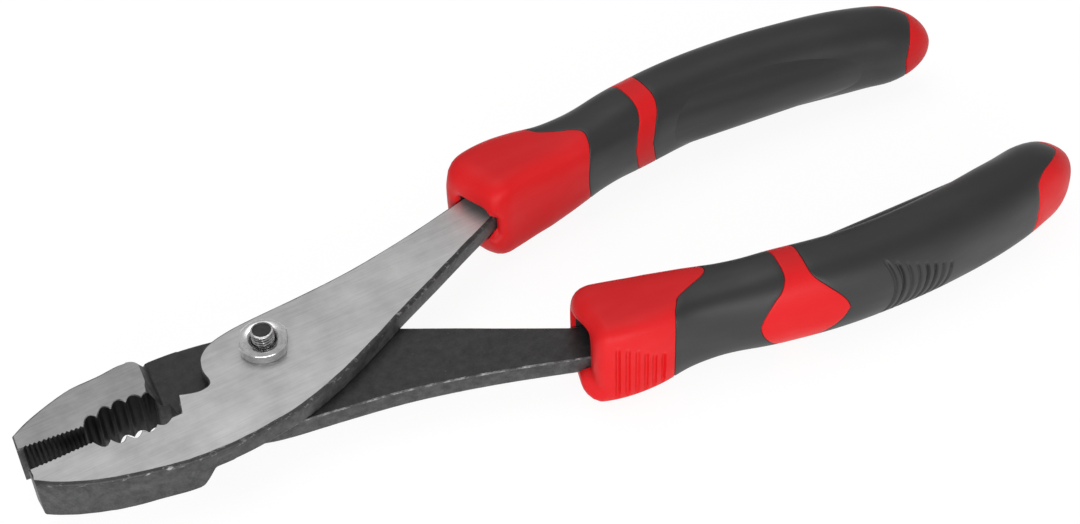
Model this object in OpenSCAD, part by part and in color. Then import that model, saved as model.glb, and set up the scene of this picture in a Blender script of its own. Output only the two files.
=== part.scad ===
// Slip joint pliers: two forged levers lapped over each other on a sliding pivot bolt,
// each with a two-material moulded grip. Millimetres, +X from the pivot to the handles, +Z up.
// The origin is on the pivot axis, at the flat face of the bolt's head.

/* [Levers] */
// Length from the pivot to the tip of the jaws
jaw_len = 59; // [50:0.5:70]
// Depth of a lever on the outer side of the closing line
jaw_depth = 17.4; // [14:0.1:21]
// Depth of a lever on the inner side of the closing line, at the pivot
crown_depth = 15.2; // [13.5:0.1:18]
// Width of the flat tip of one jaw
tip_w = 4.5; // [3:0.1:6]
// Thickness of one lever at the lap, half that of the jaws
lever_t = 4.6; // [3.6:0.1:6]
// Clearance between the two lapped faces
lap_gap = 0.1; // [0.05:0.01:0.2]
// Distance from the pipe grip's inner end forward to the edge of the upper lever's lap step
upper_lap_back = 3.2; // [1:0.1:4]
// Distance from the pipe grip's inner end forward to the edge of the lower lever's lap step
lower_lap_back = 1.9; // [1:0.1:3]
// Lean of the lap steps from upright
lap_lean = 29; // [10:1:32]
// Radius of the fillet at the foot of the lap steps
lap_fillet = 1; // [0.5:0.1:2]
// Radius of the rounded shoulder where the lap step meets the outer edge
shoulder_r = 1.8; // [1:0.1:3]
// Slant of the upper lever's lap step, towards the pivot at its outer end
upper_slant = 18; // [0:1:22]
// How much the upper jaw thickens on its lower side, from its lap step to its tip
upper_swell = 1.4; // [0:0.1:2]
// How much the lower jaw stands out below the rest of its lever
lower_swell = 1.3; // [0:0.1:2]
// Length over which the lower jaw thickens, in front of the bolt's head
swell_run = 8; // [4:0.5:10]
// Width of the tang where it enters the grip
tang_w = 10.2; // [8:0.1:12]
// Width of the tang's hidden end
tang_end_w = 7; // [5:0.1:8]
// Angle between the jaws as the pliers lie
rest_open = 6; // [3:0.1:7]

/* [Teeth] */
// Length of the flat gripping face with the fine teeth
fine_len = 15; // [12:0.1:18]
// Length of the plain land at the tip, in front of the fine teeth
fine_land = 1.5; // [0.5:0.1:2.5]
// Number of fine teeth
fine_count = 13; // [8:1:16]
// Depth of the upper lever's fine teeth
upper_fine_depth = 0.35; // [0.2:0.05:1]
// Depth of the lower lever's fine teeth
lower_fine_depth = 0.55; // [0.2:0.05:1]
// Length of the curved pipe grip with the coarse teeth
pipe_len = 17.5; // [14:0.1:19]
// Hollow of the upper lever's pipe grip below the line through its ends
upper_hollow = 1.2; // [0.5:0.1:2.6]
// Hollow of the lower lever's pipe grip below the line through its ends
lower_hollow = 1.8; // [1:0.1:3]
// Drop of the pipe grip's inner end below its outer end
pipe_drop = 2.5; // [1:0.1:3]
// Length of the level lip between the pipe grip and the wire notch
pipe_lip = 2.2; // [1:0.1:3]
// Number of coarse teeth
pipe_count = 5; // [4:1:8]
// Depth of the middle one of the coarse teeth
pipe_depth = 1.6; // [0.8:0.05:2]
// How much deeper the first coarse tooth is and how much shallower the last one, as a share
pipe_taper = 0.4; // [0:0.05:0.6]
// Gap left between the fine teeth when the jaws are closed
close_gap = 0.3; // [0.1:0.05:0.6]

/* [Pivot] */
// Distance from the closing line to the pivot axis
pivot_offset = 5.8; // [4.8:0.1:6.8]
// Distance between the two holes of the slip slot
slip = 9; // [7:0.1:10]
// Diameter of the bolt's shank
shank_d = 7; // [6:0.1:8]
// Width across the flats of the shank, inside the slot
shank_flat = 5; // [4:0.1:5.6]
// Radial clearance of the shank in its holes
run_gap = 0.05; // [0.02:0.01:0.1]
// Diameter of the bolt's head
head_d = 15; // [12:0.1:18]
// Height of the bolt's head
head_h = 2.6; // [1.5:0.1:4]
// Diameter of the threaded end
stud_d = 5; // [4:0.1:5.6]
// Height of the threaded end above the nut
stud_rise = 2.6; // [2:0.1:4]
// Diameter of the nut's round sides
nut_d = 11.9; // [10:0.1:14]
// Width across the nut's two flats
nut_flat = 10.5; // [8:0.1:11]
// Height of the nut
nut_h = 2.6; // [2:0.1:5]
// Turn of the nut's flats where it came tight
nut_turn = -25; // [-90:1:90]
// Chamfer on the rims of the head, nut and stud
pivot_chamfer = 0.5; // [0.2:0.05:0.8]

/* [Grips] */
// Distance from the pivot to the mouth of the grip
grip_start = 65; // [60:0.5:72]
// Length of the grip from its mouth to its rounded end
grip_len = 135; // [120:0.5:150]
// Furthest distance of the grip's centre line from the closing line
handle_spread = 29.4; // [26:0.1:34]
// Width of the grip
grip_w = 17.5; // [16:0.1:21]
// Height of the grip
grip_h = 22.8; // [19:0.1:26]
// Distance of the grip's centre from the lapped face
grip_rise = 0.8; // [0:0.1:2]
// How far the mouth of the upper grip lies behind grip_start
upper_set = -1.5; // [-2.5:0.1:2.5]
// How far the mouth of the lower grip lies behind grip_start
lower_set = 1.5; // [-2.5:0.1:2.5]
// Extra room on each side of the tang at the mouth
mouth_gap = 0.6; // [0.3:0.1:1]
// Length of the collar at the mouth
collar_len = 27; // [20:0.5:34]
// Distance from the mouth to the band
band_start = 48.5; // [42:0.5:56]
// Length of the band
band_len = 6; // [4:0.1:10]
// Length of the end cap
cap_len = 9; // [6:0.5:14]
// Length over which the end is rounded
tip_len = 13; // [9:0.5:16]
// Thickness of the outer sleeves
sleeve_t = 1.8; // [1:0.1:2.2]
// Clearance between the sleeves and the inner moulding, and round the tang
fit_gap = 0.1; // [0.05:0.01:0.2]
// Distance from the mouth to the hidden end of the tang
tang_reach = 98; // [80:0.5:108]

/* [Hidden] */

// How far cutting shapes run past the faces that they cut
overrun = 1;
// Depth of the outer edge of the jaw, from the tip to the pivot, in shares of [jaw_len, jaw_depth]
jaw_outer_shares = [[0.935, 0.43], [0.85, 0.585], [0.765, 0.71], [0.68, 0.8], [0.59, 0.88], [0.5, 0.95],
    [0.4, 0.99], [0.29, 1], [0.17, 0.97]];
// Outer edge from the pivot to the mouth, in shares of the way there and of the rise from -jaw_depth
shank_outer_shares = [[0, 0.065], [0.16, 0.175], [0.32, 0.325], [0.48, 0.49], [0.65, 0.655], [0.81, 0.815]];
// Inner edge from the mouth to the pivot, in shares of the way there and of the rise from crown_depth
shank_inner_shares = [[0.89, 0.815], [0.73, 0.565], [0.56, 0.345], [0.39, 0.175], [0.19, 0.07], [0, 0]];
// Front of the lap round to the wire notch, in shares of [throat, crown_depth]
lap_front_shares = [[0.22, 0.955], [0.4, 0.87], [0.49, 0.77], [0.55, 0.62], [0.58, 0.42], [0.575, 0.19],
    [0.61, 0.1], [0.71, 0.09], [0.86, 0.18]];
// Centre line of the grip, in shares of [grip_len, handle_spread]
grip_line_shares = [[-0.1, 0.545], [0, 0.69], [0.1, 0.8], [0.19, 0.87], [0.345, 0.95], [0.515, 1],
    [0.69, 0.94], [0.86, 0.78], [1, 0.5], [1.05, 0.39]];
// Width of the grip along its length, in shares of [grip_len, grip_w]
grip_width_shares = [[0, 1.06], [0.03, 1.2], [0.12, 1.18], [0.18, 1.08], [0.24, 1], [0.4, 1.01], [0.55, 1.02],
    [0.7, 1.04], [0.86, 1.02], [1, 0.96]];
// Height of the grip along its length, in shares of [grip_len, grip_h]
grip_height_shares = [[0, 0.98], [0.03, 1.12], [0.12, 1.14], [0.18, 1.06], [0.24, 0.98], [0.4, 1.01],
    [0.55, 1.02], [0.7, 1.04], [0.86, 0.96], [1, 0.84]];
// How far the grip lies on the outer side of the tang's line, in shares of [grip_len, grip_w]
grip_sway_shares = [[0, 0.075], [0.09, 0.05], [0.13, 0.01], [0.18, -0.03], [0.23, -0.035], [0.3, -0.01],
    [0.44, 0.015], [0.65, 0.015], [0.82, 0], [0.9, 0.03], [1, 0.06]];
// How far both grips lie above the middle of the pliers, in shares of [grip_len, grip_h]
grip_lift_shares = [[0, 0.065], [0.13, 0.055], [0.25, 0.065], [0.45, 0.055], [0.6, 0.04], [0.75, 0.015],
    [0.88, 0], [1, -0.025]];
// Places of the rings of the end cap, in shares of cap_len
cap_shares = [0, 0.25, 0.45, 0.62, 0.76, 0.87, 0.95, 0.99];
// Squareness of the grip's section: 2 is an ellipse
grip_square = 2.7;
// Sides of the grip's section
grip_sides = 24;
// Points between two places of a curve, and along one coarse tooth
curve_steps = 4;
tooth_steps = 6;
// Rings along each part of a grip, and places along the tang
sleeve_rings = 9;
collar_rings = 7;
neck_rings = 4;
band_rings = 2;
tube_rings = 8;
tang_steps = 12;
// Sides of round cuts and turned shapes
round_sides = 64;
// Half of the length over which the grip's direction is taken, as a share of grip_len
slope_share = 0.01;

joint_z = head_h + lever_t;
rear_start = band_start + band_len;
rear_end = grip_len - cap_len;
fine_pitch = (fine_len - fine_land) / fine_count;
pipe_start = jaw_len - fine_len;
throat = pipe_start - pipe_len;
hole_d = shank_d + 2 * run_gap;
cut_span = jaw_depth + crown_depth + handle_spread + grip_w;

// A smooth curve through places
function place(p, i) = p[max(0, min(len(p) - 1, i))];
function blend(a, b, c, d, t) =
    (2 * b + (c - a) * t + (2 * a - 5 * b + 4 * c - d) * t * t + (3 * b - a - 3 * c + d) * t * t * t) / 2;
function curve(p) = [
    for (i = [0 : len(p) - 2])
        for (k = [0 : curve_steps - 1])
            blend(place(p, i - 1), p[i], p[i + 1], place(p, i + 2), k / curve_steps),
    p[len(p) - 1]
];
function between(a, b, share) = a + (b - a) * share;

// The grip's centre line and direction at a distance from grip_start, and its section at one from the mouth
grip_line = curve(grip_line_shares);
width_line = curve(grip_width_shares);
height_line = curve(grip_height_shares);
sway_line = curve(grip_sway_shares);
lift_line = curve(grip_lift_shares);
function line_at(d) = [grip_start + d, handle_spread * lookup(d / grip_len, grip_line)];
function slope_at(d) =
    let (reach = grip_len * slope_share)
    let (step = line_at(d + reach) - line_at(d - reach))
    atan2(step.y, step.x);
function beside(d, off) = line_at(d) + off * [-sin(slope_at(d)), cos(slope_at(d))];
function tip_draw(d) = sqrt(1 - pow(max(0, 1 - (grip_len - d) / tip_len), 2));
function half_w(d) = grip_w * lookup(d / grip_len, width_line) * tip_draw(d) / 2;
function half_h(d) = grip_h * lookup(d / grip_len, height_line) * tip_draw(d) / 2;
function sway(d) = grip_w * lookup(d / grip_len, sway_line);
function lift(d) = grip_h * lookup(d / grip_len, lift_line);

// Where each grip sits: how far its mouth lies behind grip_start, and which way is up from its lapped face
upper_seat = [upper_set, 1];
lower_seat = [lower_set, -1];

// One ring of the grip: its distance from the mouth, and how far it lies inside the outer skin
function bulge(v) = sign(v) * pow(abs(v), 2 / grip_square);
function ring(d, inset, seat) = [
    for (k = [0 : grip_sides - 1])
        let (a = 360 * (k + 1 / 2) / grip_sides)
        let (p = beside(d + seat[0], sway(d) + (half_w(d) - inset) * bulge(cos(a))))
        [p.x, p.y, grip_rise + seat[1] * lift(d) + (half_h(d) - inset) * bulge(sin(a))]
];
function ring_faces(a, b) = [
    for (k = [0 : grip_sides - 1])
        let (n = (k + 1) % grip_sides)
        each [
            [a * grip_sides + k, a * grip_sides + n, b * grip_sides + n],
            [a * grip_sides + k, b * grip_sides + n, b * grip_sides + k]
        ]
];
function run(from, to, count) = [for (i = [0 : count]) between(from, to, i / count)];

// A solid through rings, closed by its two end rings
module lofted(rings) {
    last = len(rings) - 1;
    polyhedron(
        points = [for (r = rings) each r],
        faces = concat(
            [[for (k = [grip_sides - 1 : -1 : 0]) k]],
            [for (i = [0 : last - 1]) each ring_faces(i, i + 1)],
            [[for (k = [0 : grip_sides - 1]) last * grip_sides + k]]
        ),
        convexity = 6
    );
}

// A solid whose rings go round in a loop, such as a sleeve
module looped(rings) {
    count = len(rings);
    polyhedron(
        points = [for (r = rings) each r],
        faces = [for (i = [0 : count - 1]) each ring_faces(i, (i + 1) % count)],
        convexity = 6
    );
}

// The lever's tang inside the grip, from one edge round its end to the other
function tang_half(d) = between(tang_w, tang_end_w, max(0, d) / tang_reach) / 2;
tang_places = run(0, tang_reach, tang_steps);

// The teeth, from the wire notch to the tip of the jaw
fine_line = -close_gap / 2;
function fine_teeth(depth) = [
    for (i = [fine_count - 1 : -1 : 0])
        let (x = fine_land + i * fine_pitch - jaw_len)
        each [[x + fine_pitch / 2, fine_line - depth], [x, fine_line]],
    [-jaw_len, fine_line]
];
function pipe_place(t, hollow) = [
    t * pipe_len - pipe_start,
    fine_line - pipe_drop * t - hollow * sin(180 * t)
];
function pipe_dip(t) = pipe_depth * (1 + pipe_taper * (1 - 2 * t)) * abs(sin(180 * pipe_count * t));
function pipe_teeth(hollow) = [
    [pipe_lip - throat, fine_line - pipe_drop],
    for (i = [tooth_steps * pipe_count : -1 : 0])
        let (t = i / tooth_steps / pipe_count)
        pipe_place(t, hollow) - [0, pipe_dip(t)]
];

// The outline of one lever, with its jaw on the -Y side of the closing line
function jaw_place(i) = [-jaw_outer_shares[i].x * jaw_len, -jaw_outer_shares[i].y * jaw_depth];
function jaw_outer() = [
    [-jaw_len, fine_line - tip_w],
    for (i = [0 : len(jaw_outer_shares) - 1]) jaw_place(i)
];
function shank_outer() =
    let (mouth = beside(0, -tang_w / 2))
    [for (s = shank_outer_shares) [s.x * mouth.x, between(-jaw_depth, mouth.y, s.y)]];
function shank_inner() =
    let (mouth = beside(0, tang_w / 2))
    [for (s = shank_inner_shares) [s.x * mouth.x, between(crown_depth, mouth.y, s.y)]];
function lap_front() = [for (s = lap_front_shares) [-s.x * throat, s.y * crown_depth]];
function lever_outline(hollow, tooth_depth) = concat(
    curve(concat(jaw_outer(), shank_outer(), [beside(0, -tang_w / 2)])),
    [for (d = tang_places) if (d > 0) beside(d, -tang_half(d))],
    [for (i = [len(tang_places) - 1 : -1 : 1]) beside(tang_places[i], tang_half(tang_places[i]))],
    curve(concat([beside(0, tang_w / 2)], shank_inner(), lap_front())),
    pipe_teeth(hollow),
    fine_teeth(tooth_depth)
);

// The levers seen from the side, as outlines in [x, z]
cut_reach = jaw_len + grip_start + grip_len;
upper_side = [
    [cut_reach, lever_t], [-cut_reach, lever_t], [-jaw_len, -lever_t - upper_swell], [-throat, -lever_t],
    [cut_reach, -lever_t]
];
lower_side = [
    [cut_reach, -lever_t], [-cut_reach, -lever_t], [-cut_reach, lever_t + lower_swell],
    [-throat, lever_t + lower_swell], [swell_run - throat, lever_t], [cut_reach, lever_t]
];

// How each lever is finished: the hollow of its pipe grip, the slant of its lap step, the last place of the
// jaw's outer edge before the step, its side, the place of the step's edge and the depth of its fine teeth
upper_finish = [upper_hollow, upper_slant, 5, upper_side, throat + upper_lap_back, upper_fine_depth];
lower_finish = [lower_hollow, 0, 4, lower_side, throat + lower_lap_back, lower_fine_depth];

// The forging that both levers start from: full thickness at the jaw, the upper half at the lap
module lever_blank(finish) {
    difference() {
        intersection() {
            linear_extrude(4 * lever_t, center = true) polygon(lever_outline(finish[0], finish[5]));
            rotate([90, 0, 0]) linear_extrude(2 * cut_span, center = true) polygon(finish[3]);
        }
        translate([-finish[4], 0, 0]) rotate([0, 0, finish[1]]) lap_relief(finish);
    }
}

// What the lap step takes away below the lapped face: along its straight wall, then round its shoulder
step_h = lever_t + lap_gap / 2;
step_run = (step_h - lap_fillet * (1 - sin(lap_lean))) * tan(lap_lean) + lap_fillet * cos(lap_lean);
function step_cut(wall) = concat(
    [[cut_reach, -lever_t - overrun], [cut_reach, lap_gap / 2]],
    [for (a = run(90, 180 - lap_lean, curve_steps))
        [wall + step_run + lap_fillet * cos(a), lap_gap / 2 + lap_fillet * (sin(a) - 1)]],
    [[wall, -lever_t], [wall, -lever_t - overrun]]
);
function from_step(p, finish) =
    let (q = p + [finish[4], 0], slant = finish[1])
    [q.x * cos(slant) + q.y * sin(slant), q.y * cos(slant) - q.x * sin(slant)];
module lap_relief(finish) {
    near = from_step(jaw_place(finish[2]), finish);
    edge = from_step(jaw_place(finish[2] + 1), finish) - near;
    outer = near.y - edge.y / edge.x * near.x;
    turn = outer + shoulder_r * (norm(edge) - edge.y) / edge.x;
    translate([0, cut_span, 0]) rotate([90, 0, 0]) linear_extrude(cut_span - turn) polygon(step_cut(0));
    translate([-shoulder_r, turn, 0]) intersection() {
        rotate_extrude($fn = round_sides) polygon(step_cut(shoulder_r));
        translate([0, 0, -lever_t - 2 * overrun]) linear_extrude(lever_t + 3 * overrun) polygon([
            [0, 0], [cut_reach, 0], [cut_reach, -cut_reach], [cut_reach * edge.y / edge.x, -cut_reach]
        ]);
    }
}

// Both halves are made alike in the closed position, then placed about the pivot
module upper_half() {
    translate([0, 0, joint_z]) rotate([0, 0, rest_open / 2]) translate([0, -pivot_offset, 0]) children();
}
module lower_half() {
    translate([0, 0, joint_z]) rotate([0, 0, -rest_open / 2]) translate([0, -pivot_offset, 0])
        rotate([180, 0, 0]) children();
}

// The tang's place in the inner moulding, with its clearance
module tang_socket(seat) {
    mouth = min(0, seat[0]) - overrun;
    room = fit_gap + mouth_gap;
    reach = [for (d = tang_places) if (d > 0) d == tang_reach ? d + fit_gap : d];
    height = lever_t - lap_gap / 2 + 2 * fit_gap;
    translate([0, 0, lap_gap / 2 - fit_gap]) linear_extrude(height) polygon(concat(
        [beside(mouth, -tang_half(mouth) - room)],
        [for (d = reach) beside(d, -tang_half(d) - fit_gap)],
        [for (i = [len(reach) - 1 : -1 : 0]) beside(reach[i], tang_half(reach[i]) + fit_gap)],
        [beside(mouth, tang_half(mouth) + room)]
    ));
}

// The red moulding: collar, band and end cap on one inner tube
module grip_core(seat) {
    inset = sleeve_t + fit_gap;
    difference() {
        lofted(concat(
            [for (d = run(0, collar_len, collar_rings)) ring(d, 0, seat)],
            [for (d = run(collar_len, band_start, neck_rings)) ring(d, inset, seat)],
            [for (d = run(band_start, rear_start, band_rings)) ring(d, 0, seat)],
            [for (d = run(rear_start, rear_end, tube_rings)) ring(d, inset, seat)],
            [for (t = cap_shares) ring(rear_end + cap_len * t, 0, seat)]
        ));
        tang_socket(seat);
    }
}

// A dark sleeve between two places of the inner moulding
module grip_sleeve(from, to, seat) {
    places = run(from + fit_gap, to - fit_gap, sleeve_rings);
    looped(concat(
        [for (d = places) ring(d, 0, seat)],
        [for (i = [sleeve_rings : -1 : 0]) ring(places[i], sleeve_t, seat)]
    ));
}

module upper_lever() {
    color("silver") difference() {
        upper_half() lever_blank(upper_finish);
        cylinder(h = joint_z + lever_t + overrun, d = hole_d, $fn = round_sides);
    }
}

// The slip slot: two round holes joined by a waist that only the shank's flats pass
module slip_slot() {
    span = joint_z + lever_t + overrun;
    for (y = [0, -slip]) translate([0, y, 0]) cylinder(h = span, d = hole_d, $fn = round_sides);
    translate([-shank_flat / 2 - run_gap, -slip, 0]) cube([shank_flat + 2 * run_gap, slip, span]);
}

module lower_lever() {
    color("dimgray") difference() {
        lower_half() lever_blank(lower_finish);
        rotate([0, 0, -rest_open / 2]) slip_slot();
    }
}

shank_top = joint_z + lever_t + lap_gap;
stud_top = shank_top + nut_h + stud_rise;
module pivot_bolt() {
    color("darkgray") rotate([0, 0, -rest_open / 2]) {
        rotate_extrude($fn = round_sides) polygon([
            [0, 0], [head_d / 2 - pivot_chamfer, 0], [head_d / 2, pivot_chamfer], [head_d / 2, head_h],
            [0, head_h]
        ]);
        intersection() {
            cylinder(h = joint_z, d = shank_d, $fn = round_sides);
            translate([-shank_flat / 2, -shank_d, 0]) cube([shank_flat, 2 * shank_d, joint_z]);
        }
        translate([0, 0, joint_z]) cylinder(h = shank_top - joint_z, d = shank_d, $fn = round_sides);
        rotate_extrude($fn = round_sides) polygon([
            [0, joint_z], [stud_d / 2, joint_z], [stud_d / 2, stud_top - pivot_chamfer],
            [stud_d / 2 - pivot_chamfer, stud_top], [0, stud_top]
        ]);
    }
}

module pivot_nut() {
    color("lightgray") translate([0, 0, shank_top]) rotate([0, 0, nut_turn]) difference() {
        intersection() {
            rotate_extrude($fn = round_sides) polygon([
                [0, 0], [nut_d / 2, 0], [nut_d / 2, nut_h - pivot_chamfer],
                [nut_d / 2 - pivot_chamfer, nut_h], [0, nut_h]
            ]);
            translate([-nut_flat / 2, -nut_d, 0]) cube([nut_flat, 2 * nut_d, nut_h]);
        }
        bore_d = stud_d + 2 * run_gap;
        translate([0, 0, -overrun]) cylinder(h = nut_h + 2 * overrun, d = bore_d, $fn = round_sides);
    }
}

// The two dark sleeves of a grip, on either side of the band
module front_sleeve(seat) { grip_sleeve(collar_len, band_start, seat); }
module rear_sleeve(seat) { grip_sleeve(rear_start, rear_end, seat); }

module upper_grip_core() { color("firebrick") upper_half() grip_core(upper_seat); }
module upper_front_sleeve() { color("darkslategray") upper_half() front_sleeve(upper_seat); }
module upper_rear_sleeve() { color("darkslategray") upper_half() rear_sleeve(upper_seat); }
module lower_grip_core() { color("firebrick") lower_half() grip_core(lower_seat); }
module lower_front_sleeve() { color("darkslategray") lower_half() front_sleeve(lower_seat); }
module lower_rear_sleeve() { color("darkslategray") lower_half() rear_sleeve(lower_seat); }

upper_lever();
lower_lever();
pivot_bolt();
pivot_nut();
upper_grip_core();
upper_front_sleeve();
upper_rear_sleeve();
lower_grip_core();
lower_front_sleeve();
lower_rear_sleeve();
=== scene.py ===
# The looks of the slip joint pliers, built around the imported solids. Sizes are in millimetres until they are
# placed, with +X from the pivot to the handles and +Z up.
import math

import bmesh
import bpy
from mathutils import Matrix, Vector, noise


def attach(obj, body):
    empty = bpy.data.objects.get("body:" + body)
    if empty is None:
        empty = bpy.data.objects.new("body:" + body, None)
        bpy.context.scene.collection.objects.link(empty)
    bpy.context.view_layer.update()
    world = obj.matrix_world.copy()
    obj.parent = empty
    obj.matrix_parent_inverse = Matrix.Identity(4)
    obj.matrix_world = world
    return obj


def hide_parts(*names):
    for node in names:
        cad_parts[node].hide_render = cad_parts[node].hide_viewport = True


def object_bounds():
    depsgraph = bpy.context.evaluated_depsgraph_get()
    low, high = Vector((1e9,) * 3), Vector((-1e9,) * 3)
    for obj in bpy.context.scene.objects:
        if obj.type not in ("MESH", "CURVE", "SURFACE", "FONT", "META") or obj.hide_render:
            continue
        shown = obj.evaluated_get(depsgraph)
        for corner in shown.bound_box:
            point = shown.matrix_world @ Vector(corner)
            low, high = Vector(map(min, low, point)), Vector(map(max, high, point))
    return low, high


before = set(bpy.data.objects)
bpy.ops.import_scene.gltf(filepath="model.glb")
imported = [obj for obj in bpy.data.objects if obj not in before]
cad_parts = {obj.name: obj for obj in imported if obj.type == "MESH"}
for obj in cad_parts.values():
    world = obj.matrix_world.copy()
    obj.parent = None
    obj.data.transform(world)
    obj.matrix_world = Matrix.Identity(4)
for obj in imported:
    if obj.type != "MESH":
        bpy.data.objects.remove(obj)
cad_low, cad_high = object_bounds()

MM = 0.001
# Points closer than this are merged to one
MERGE = 0.002

# Sizes that the solids are drawn to
JOINT_Z = 7.2
LEVER_T = 4.6
PIVOT_OFFSET = 5.8
REST_TURN = math.radians(3)
JAW_LEN = 59
FINE_LEN = 15
THROAT = 26.5
HEAD_D = 15
HEAD_H = 2.6
SHANK_D = 7
SHANK_FLAT = 5
STUD_TOP = 17.1
NUT_D = 11.9
NUT_FLAT = 10.5
NUT_LOW = 11.9
NUT_TURN = math.radians(-25)
GRIP_START = 65
GRIP_LEN = 135
HANDLE_SPREAD = 29.4
GRIP_W = 17.5
GRIP_H = 22.8
GRIP_RISE = 0.8
GRIP_SET = 1.5
TIP_LEN = 13
TANG_MID = LEVER_T / 2

# Along the grip, in shares of its length: its centre line, width and height in shares of the largest ones
CENTRE_LINE = [(-0.1, 0.545), (0, 0.69), (0.1, 0.8), (0.19, 0.87), (0.345, 0.95), (0.515, 1), (0.69, 0.94),
               (0.86, 0.78), (1, 0.5), (1.05, 0.39)]
WIDTH = [(-0.02, 0.98), (0, 1.04), (0.03, 1.13), (0.12, 1.08), (0.18, 0.995), (0.24, 0.975), (0.275, 0.985),
         (0.355, 1.025), (0.55, 1.02), (0.7, 1.03), (0.8, 1.05), (0.86, 1.035), (1, 0.96)]
HEIGHT = [(-0.02, 0.9), (0, 0.96), (0.03, 1.055), (0.12, 1.035), (0.18, 0.975), (0.24, 0.955),
          (0.275, 0.965), (0.355, 1.025), (0.55, 1.02), (0.7, 1.03), (0.8, 1.015), (0.86, 0.975), (1, 0.84)]
# Squareness of the section at distances from the mouth: 2 is an ellipse
SQUARENESS = [(-3, 5.4), (0, 5.4), (12, 5), (24, 3.6), (34, 2.7), (50, 2.45), (135, 2.4)]
# How far the grip lies on the outer side of the tang's line, and above the middle of the pliers
SWAY = [(0, 1.7), (6, 1.6), (12, 1.1), (18, 0.15), (24, -0.8), (30, -0.9), (36, -0.55), (42, -0.1),
        (50, 0.1), (60, 0.3), (84, 0.25), (96, 0.1), (110, 0), (120, 0.4), (126, 0.9), (135, 1.2)]
LIFT = [(0, 1.5), (12, 1.35), (18, 1.25), (33, 1.5), (54, 1.35), (72, 1.05), (84, 0.8), (96, 0.5),
        (108, 0.3), (114, 0.13), (120, -0.05), (126, -0.45), (135, -0.6)]

# Where the two materials of a grip meet: distance from the mouth at angles round the section, from 0 on the
# outer side over 90 on top to 180 on the inner side
COLLAR_EDGE = [(0, 19.8), (40, 19.9), (59, 20.5), (67, 21.3), (74, 22), (81, 24.2), (90, 27.2), (95, 28.8),
               (101, 30.2), (108, 31), (120, 30.6), (140, 29.4), (160, 28.7), (180, 28.5)]
BAND_FRONT = [(0, 40.3), (14, 40.8), (28, 41.9), (42, 43.7), (50, 45.3), (58, 46.4), (68, 47.2), (90, 47.3),
              (115, 47.2), (130, 46.5), (150, 45), (180, 44.1)]
BAND_REAR = [(0, 62.2), (17, 61), (31, 59.2), (46, 56.5), (59, 54.1), (70, 53.2), (90, 53), (115, 52.9),
             (130, 52.1), (150, 50.6), (180, 49.6)]
CAP_EDGE = [(0, 115.5), (30, 115.8), (51, 116.7), (58, 118.4), (62, 120.4), (65, 123), (70, 126.5),
            (77, 128.8), (90, 129.3), (120, 129), (180, 128)]

# Points round a section, the rounding at the seams, and how deep the sleeves and the tube under them lie
ROUND_GRIP = 144
SEAM_R = 0.3
SLEEVE_T = 1.4
CORE_INSET = 1.5


# Curves and angles

def along(table, x):
    """A smooth curve through the places of a table."""
    if x <= table[0][0]:
        return table[0][1]
    if x >= table[-1][0]:
        return table[-1][1]
    i = max(k for k in range(len(table) - 1) if table[k][0] <= x)

    def slope(k):
        low, high = max(k - 1, 0), min(k + 1, len(table) - 1)
        return (table[high][1] - table[low][1]) / (table[high][0] - table[low][0])

    (x0, y0), (x1, y1) = table[i], table[i + 1]
    span = x1 - x0
    t = (x - x0) / span
    bend_in = slope(i) * span
    bend_out = slope(i + 1) * span
    return (y0 * (1 + 2 * t) * (1 - t) ** 2 + bend_in * t * (1 - t) ** 2
            + y1 * t * t * (3 - 2 * t) + bend_out * t * t * (t - 1))


def ease(low, high, x):
    """Rises smoothly from 0 at low to 1 at high."""
    t = min(1, max(0, (x - low) / (high - low)))
    return t * t * (3 - 2 * t)


def fold(angle):
    """The angle from the outer side, the same above and below."""
    turned = math.degrees(angle) % 360
    return min(turned, 360 - turned)


# Modelling by hand

def select_only(*pieces):
    bpy.ops.object.select_all(action="DESELECT")
    for piece in pieces:
        piece.select_set(True)
    bpy.context.view_layer.objects.active = pieces[0]


def edit(piece):
    select_only(piece)
    bpy.ops.object.mode_set(mode="EDIT")


def done():
    bpy.ops.object.mode_set(mode="OBJECT")


def pick(kind, test):
    """In edit mode, selects the vertices, edges or faces that pass a test."""
    mesh = bpy.context.edit_object.data
    bpy.ops.mesh.select_mode(type=kind)
    bpy.ops.mesh.select_all(action="DESELECT")
    shape = bmesh.from_edit_mesh(mesh)
    shape.normal_update()
    for part in {"VERT": shape.verts, "EDGE": shape.edges, "FACE": shape.faces}[kind]:
        if test(part):
            part.select_set(True)
    shape.select_flush_mode()
    bmesh.update_edit_mesh(mesh)


def named(name):
    piece = bpy.context.active_object
    piece.name = name
    piece.data.name = name
    return piece


def apply_place(piece):
    select_only(piece)
    bpy.ops.object.transform_apply(location=True, rotation=True, scale=True)


def wrapped(name, rings, inner_rows=0):
    """A skin through rings of points in millimetres: a grid with its long sides joined. Its first rows can
    take a second material."""
    around = len(rings[0])
    bpy.ops.object.select_all(action="DESELECT")
    bpy.ops.mesh.primitive_grid_add(x_subdivisions=around, y_subdivisions=len(rings) - 1, size=1)
    piece = named(name)
    if inner_rows:
        for _ in range(2):
            piece.data.materials.append(None)
        for face in piece.data.polygons:
            if (face.center.y + 0.5) * (len(rings) - 1) < inner_rows:
                face.material_index = 1
    for corner in piece.data.vertices:
        k = round((corner.co.x + 0.5) * around)
        j = round((corner.co.y + 0.5) * (len(rings) - 1))
        corner.co = Vector(rings[j][k % around]) * MM
    edit(piece)
    bpy.ops.mesh.select_all(action="SELECT")
    bpy.ops.mesh.remove_doubles(threshold=MERGE * MM)
    bpy.ops.mesh.normals_make_consistent(inside=False)
    done()
    return piece


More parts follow.
